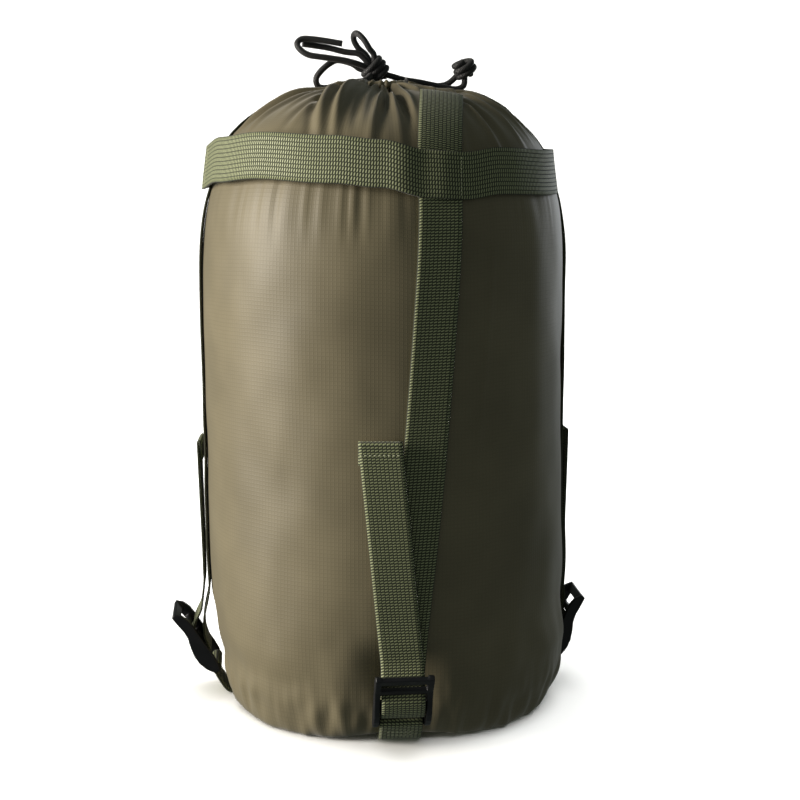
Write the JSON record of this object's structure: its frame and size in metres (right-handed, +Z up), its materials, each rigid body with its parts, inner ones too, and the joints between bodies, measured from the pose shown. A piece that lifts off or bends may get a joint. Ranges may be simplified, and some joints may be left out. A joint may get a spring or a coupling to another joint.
{
  "type": "compression sack",
  "caption": "Round fabric compression sack with a drawcord top, a webbing shoulder ring and side straps tightened by ladder-lock buckles.",
  "frame": {"origin": "middle of the base, on the surface the sack stands on", "axes": "+Z up the sack's axis, -Y towards the front strap, +X to its right as seen from the front"},
  "size_m": [0.2626, 0.2694, 0.4136],
  "materials": {
    "ripstop_nylon": "olive coated ripstop with a soft sheen",
    "binding_tape": "folded olive tape",
    "webbing": "olive woven 25 mm webbing",
    "sewing_thread": "olive bonded thread",
    "acetal": "moulded black satin",
    "braided_cord": "black braid"
  },
  "bodies": {
    "base": {"base_panel": "ripstop_nylon", "side_panel_lower": "ripstop_nylon", "base_seam_binding": "binding_tape", "base_strap_front_back": "webbing", "base_strap_left_right": "webbing", "front_tab_stitching": "sewing_thread", "right_tab_stitching": "sewing_thread", "back_tab_stitching": "sewing_thread", "left_tab_stitching": "sewing_thread"},
    "top": {"side_panel_upper": "ripstop_nylon", "dome_panel": "ripstop_nylon", "mouth_hem": "ripstop_nylon", "drawcord_ring": "braided_cord", "shoulder_hoop": "webbing", "front_dome_strap": "webbing", "right_dome_strap": "webbing", "back_dome_strap": "webbing", "left_dome_strap": "webbing", "front_hoop_stitching": "sewing_thread", "right_hoop_stitching": "sewing_thread", "back_hoop_stitching": "sewing_thread", "left_hoop_stitching": "sewing_thread", "front_standing_strap": "webbing", "right_standing_strap": "webbing", "back_standing_strap": "webbing", "left_standing_strap": "webbing", "drawcord_arch": "braided_cord", "drawcord_run_lower": "braided_cord", "drawcord_run_upper": "braided_cord", "drawcord_bow_loop": "braided_cord", "drawcord_end_long": "braided_cord", "drawcord_end_short": "braided_cord", "slip_knot": "braided_cord", "stopper_knot": "braided_cord"},
    "front_buckle": {"front_buckle": "acetal", "front_strap_wrap": "webbing"},
    "front_tail": {"front_tail": "webbing", "front_tail_end": "webbing"},
    "right_buckle": {"right_buckle": "acetal", "right_strap_wrap": "webbing"},
    "right_tail": {"right_tail": "webbing", "right_tail_end": "webbing"},
    "back_buckle": {"back_buckle": "acetal", "back_strap_wrap": "webbing"},
    "back_tail": {"back_tail": "webbing", "back_tail_end": "webbing"},
    "left_buckle": {"left_buckle": "acetal", "left_strap_wrap": "webbing"},
    "left_tail": {"left_tail": "webbing", "left_tail_end": "webbing"}
  },
  "joints": [
    {"name": "compress", "type": "slide", "parent": "base", "child": "top", "axis": [0, 0, -1], "range_m": [0, 0.11], "deforming": ["front_standing_strap", "right_standing_strap", "back_standing_strap", "left_standing_strap"]},
    {"name": "front_buckle_tilt", "type": "hinge", "parent": "base", "child": "front_buckle", "pos_m": [0, -0.1075, 0.0155], "axis": [1, 0, 0], "range_deg": [0, 45]},
    {"name": "front_tail_swing", "type": "hinge", "parent": "front_buckle", "child": "front_tail", "pos_m": [0, -0.1162, 0.0538], "axis": [1, 0, 0], "range_deg": [0, 70]},
    {"name": "right_buckle_tilt", "type": "hinge", "parent": "base", "child": "right_buckle", "pos_m": [0.107, 0, 0.0195], "axis": [0, 1, 0], "range_deg": [0, 45]},
    {"name": "right_tail_swing", "type": "hinge", "parent": "right_buckle", "child": "right_tail", "pos_m": [0.115, 0, 0.0578], "axis": [0, 1, 0], "range_deg": [0, 70]},
    {"name": "back_buckle_tilt", "type": "hinge", "parent": "base", "child": "back_buckle", "pos_m": [0, 0.1075, 0.0155], "axis": [-1, 0, 0], "range_deg": [0, 45]},
    {"name": "back_tail_swing", "type": "hinge", "parent": "back_buckle", "child": "back_tail", "pos_m": [0, 0.1162, 0.0538], "axis": [-1, 0, 0], "range_deg": [0, 70]},
    {"name": "left_buckle_tilt", "type": "hinge", "parent": "base", "child": "left_buckle", "pos_m": [-0.1075, 0, 0.0185], "axis": [0, -1, 0], "range_deg": [0, 45]},
    {"name": "left_tail_swing", "type": "hinge", "parent": "left_buckle", "child": "left_tail", "pos_m": [-0.1162, 0, 0.0568], "axis": [0, -1, 0], "range_deg": [0, 70]}
  ]
}
